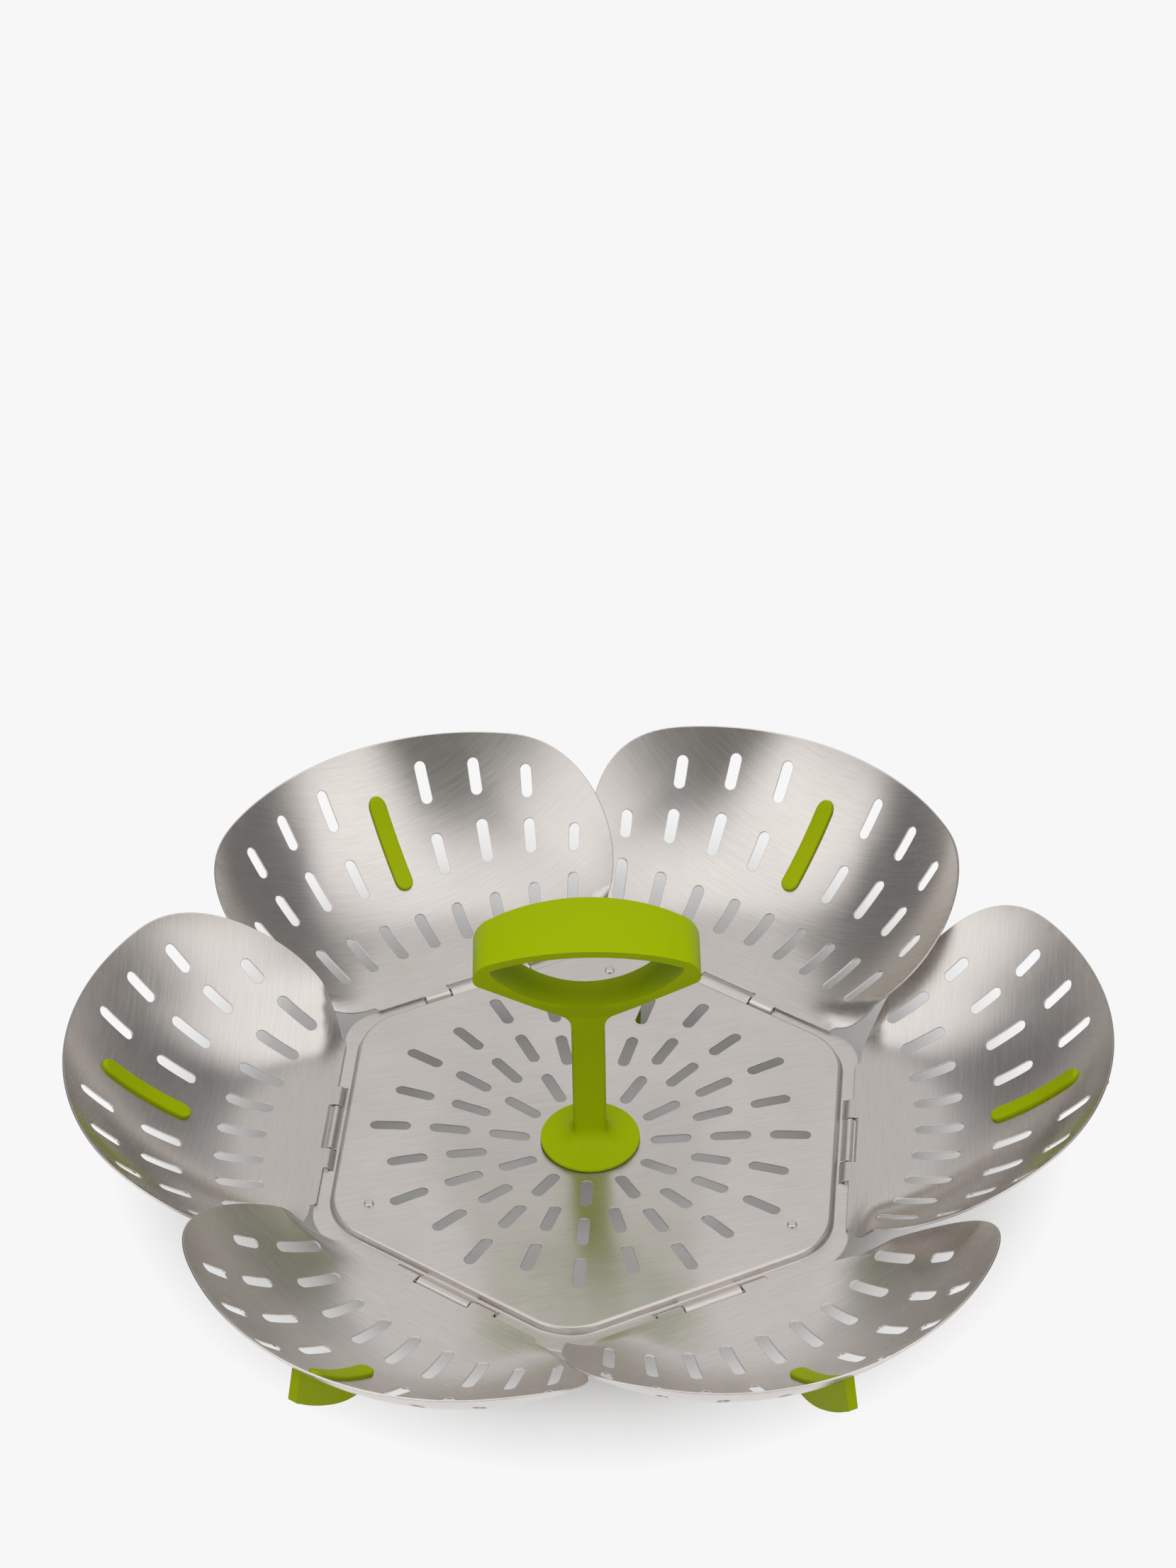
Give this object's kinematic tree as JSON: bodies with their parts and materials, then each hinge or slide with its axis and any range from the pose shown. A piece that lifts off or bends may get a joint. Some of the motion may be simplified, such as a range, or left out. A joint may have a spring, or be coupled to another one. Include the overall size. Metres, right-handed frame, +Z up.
{
  "type": "folding steamer basket",
  "caption": "Folding steamer basket: slotted steel petals hinged round a hexagonal floor plate on short legs, with a hooped centre handle and silicone feet.",
  "frame": {"origin": "on the table under the middle of the floor plate, basket open", "axes": "+Z up along the handle's stem; petal 1 opens along +X and the others follow anticlockwise seen from above"},
  "size_m": [0.2546, 0.2452, 0.0894],
  "materials": {
    "plate_steel": "brushed stainless sheet, satin",
    "petal_steel": "brushed stainless sheet, satin, grain across the petal",
    "leg_steel": "bent stainless strip, satin",
    "fastener_steel": "turned or drawn stainless, smooth",
    "handle_nylon": "lime green moulded nylon, fine satin",
    "foot_silicone": "lime green silicone, soft matte",
    "tip_silicone": "lime green silicone, soft matte"
  },
  "bodies": {
    "base": {"floor_plate": "plate_steel", "hinge_pin_1": "fastener_steel", "hinge_pin_2": "fastener_steel", "hinge_pin_3": "fastener_steel", "hinge_pin_4": "fastener_steel", "hinge_pin_5": "fastener_steel", "hinge_pin_6": "fastener_steel", "handle": "handle_nylon", "handle_screw": "fastener_steel", "handle_washer": "fastener_steel", "leg_1": "leg_steel", "leg_2": "leg_steel", "leg_3": "leg_steel", "leg_tip_1": "tip_silicone", "leg_tip_2": "tip_silicone", "leg_tip_3": "tip_silicone", "leg_rivet_1": "fastener_steel", "leg_rivet_2": "fastener_steel", "leg_rivet_3": "fastener_steel"},
    "petal_leaf_1": {"petal_1": "petal_steel", "petal_foot_1": "foot_silicone"},
    "petal_leaf_2": {"petal_2": "petal_steel", "petal_foot_2": "foot_silicone"},
    "petal_leaf_3": {"petal_3": "petal_steel", "petal_foot_3": "foot_silicone"},
    "petal_leaf_4": {"petal_4": "petal_steel", "petal_foot_4": "foot_silicone"},
    "petal_leaf_5": {"petal_5": "petal_steel", "petal_foot_5": "foot_silicone"},
    "petal_leaf_6": {"petal_6": "petal_steel", "petal_foot_6": "foot_silicone"}
  },
  "joints": [
    {"name": "petal_1_fold", "type": "hinge", "parent": "base", "child": "petal_leaf_1", "pos_m": [0.064, 0, 0.0195], "axis": [0, -1, 0], "range_deg": [0, 80]},
    {"name": "petal_2_fold", "type": "hinge", "parent": "base", "child": "petal_leaf_2", "pos_m": [0.032, 0.05543, 0.0195], "axis": [0.866, -0.5, 0], "range_deg": [0, 80]},
    {"name": "petal_3_fold", "type": "hinge", "parent": "base", "child": "petal_leaf_3", "pos_m": [-0.032, 0.05543, 0.0195], "axis": [0.866, 0.5, 0], "range_deg": [0, 80]},
    {"name": "petal_4_fold", "type": "hinge", "parent": "base", "child": "petal_leaf_4", "pos_m": [-0.064, 0, 0.0195], "axis": [0, 1, 0], "range_deg": [0, 80]},
    {"name": "petal_5_fold", "type": "hinge", "parent": "base", "child": "petal_leaf_5", "pos_m": [-0.032, -0.05543, 0.0195], "axis": [-0.866, 0.5, 0], "range_deg": [0, 80]},
    {"name": "petal_6_fold", "type": "hinge", "parent": "base", "child": "petal_leaf_6", "pos_m": [0.032, -0.05543, 0.0195], "axis": [-0.866, -0.5, 0], "range_deg": [0, 80]}
  ],
  "couplings": [
    {"joint": "petal_2_fold", "follows": "petal_1_fold", "ratio": 1},
    {"joint": "petal_3_fold", "follows": "petal_1_fold", "ratio": 1},
    {"joint": "petal_4_fold", "follows": "petal_1_fold", "ratio": 1},
    {"joint": "petal_5_fold", "follows": "petal_1_fold", "ratio": 1},
    {"joint": "petal_6_fold", "follows": "petal_1_fold", "ratio": 1}
  ]
}
